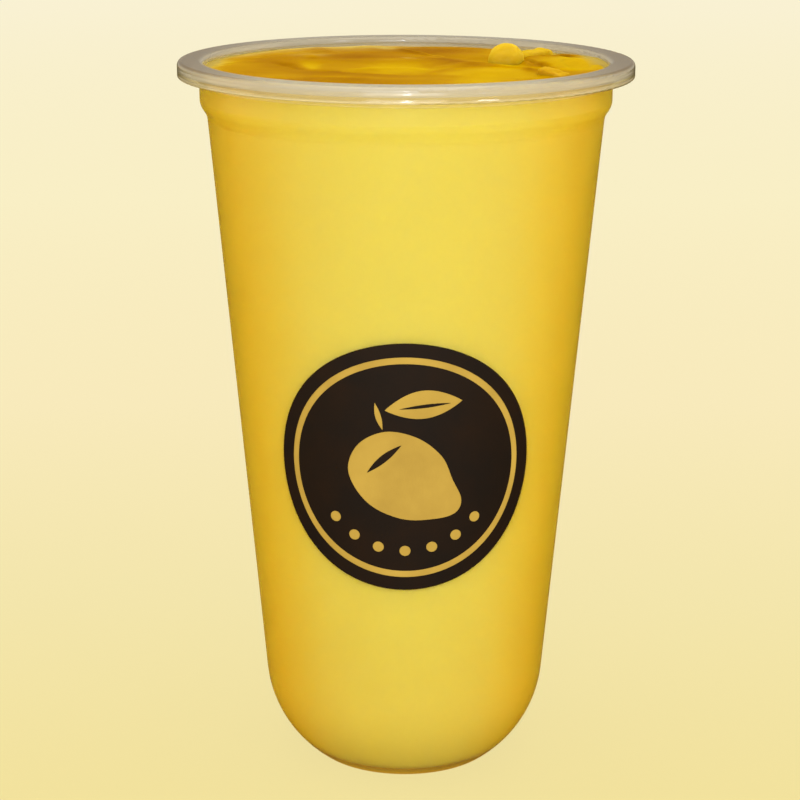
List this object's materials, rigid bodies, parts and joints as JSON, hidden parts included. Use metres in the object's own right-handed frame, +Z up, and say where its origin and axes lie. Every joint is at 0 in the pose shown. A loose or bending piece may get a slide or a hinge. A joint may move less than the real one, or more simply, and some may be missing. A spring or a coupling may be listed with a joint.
{
  "type": "fruit slush",
  "caption": "Mango slush filled to the brim of a tall clear cup with a round bottom corner and a flat sealing rim, with mango puree and mango pieces in its uneven top",
  "frame": {"origin": "bottom centre of the cup's foot", "axes": "+Z up along the cup's axis, -Y towards the side with the round badge, +X to the right of that side"},
  "size_m": [0.095, 0.095, 0.1551],
  "materials": {
    "clear_plastic": "clear injection-moulded plastic, slightly hazy, satin-gloss outside with a brighter rim",
    "mango_slush": "opaque blended mango slush, wet, fine and smooth against the cup",
    "mango_flesh": "wet ripe mango flesh, soft gloss, paler on cut edges",
    "mango_puree": "thin glossy mango puree, deeper orange, spread over the top",
    "badge_ink": "dark brown screen-printed ink film on the outside of the cup",
    "badge_gold": "muted gold screen-printed ink, shown through openings in the dark ink"
  },
  "bodies": {
    "root": {"cup": "clear_plastic", "slush": "mango_slush", "mango_lump": "mango_flesh", "mango_piece_back": "mango_flesh", "mango_piece_front": "mango_flesh"}
  },
  "joints": []
}
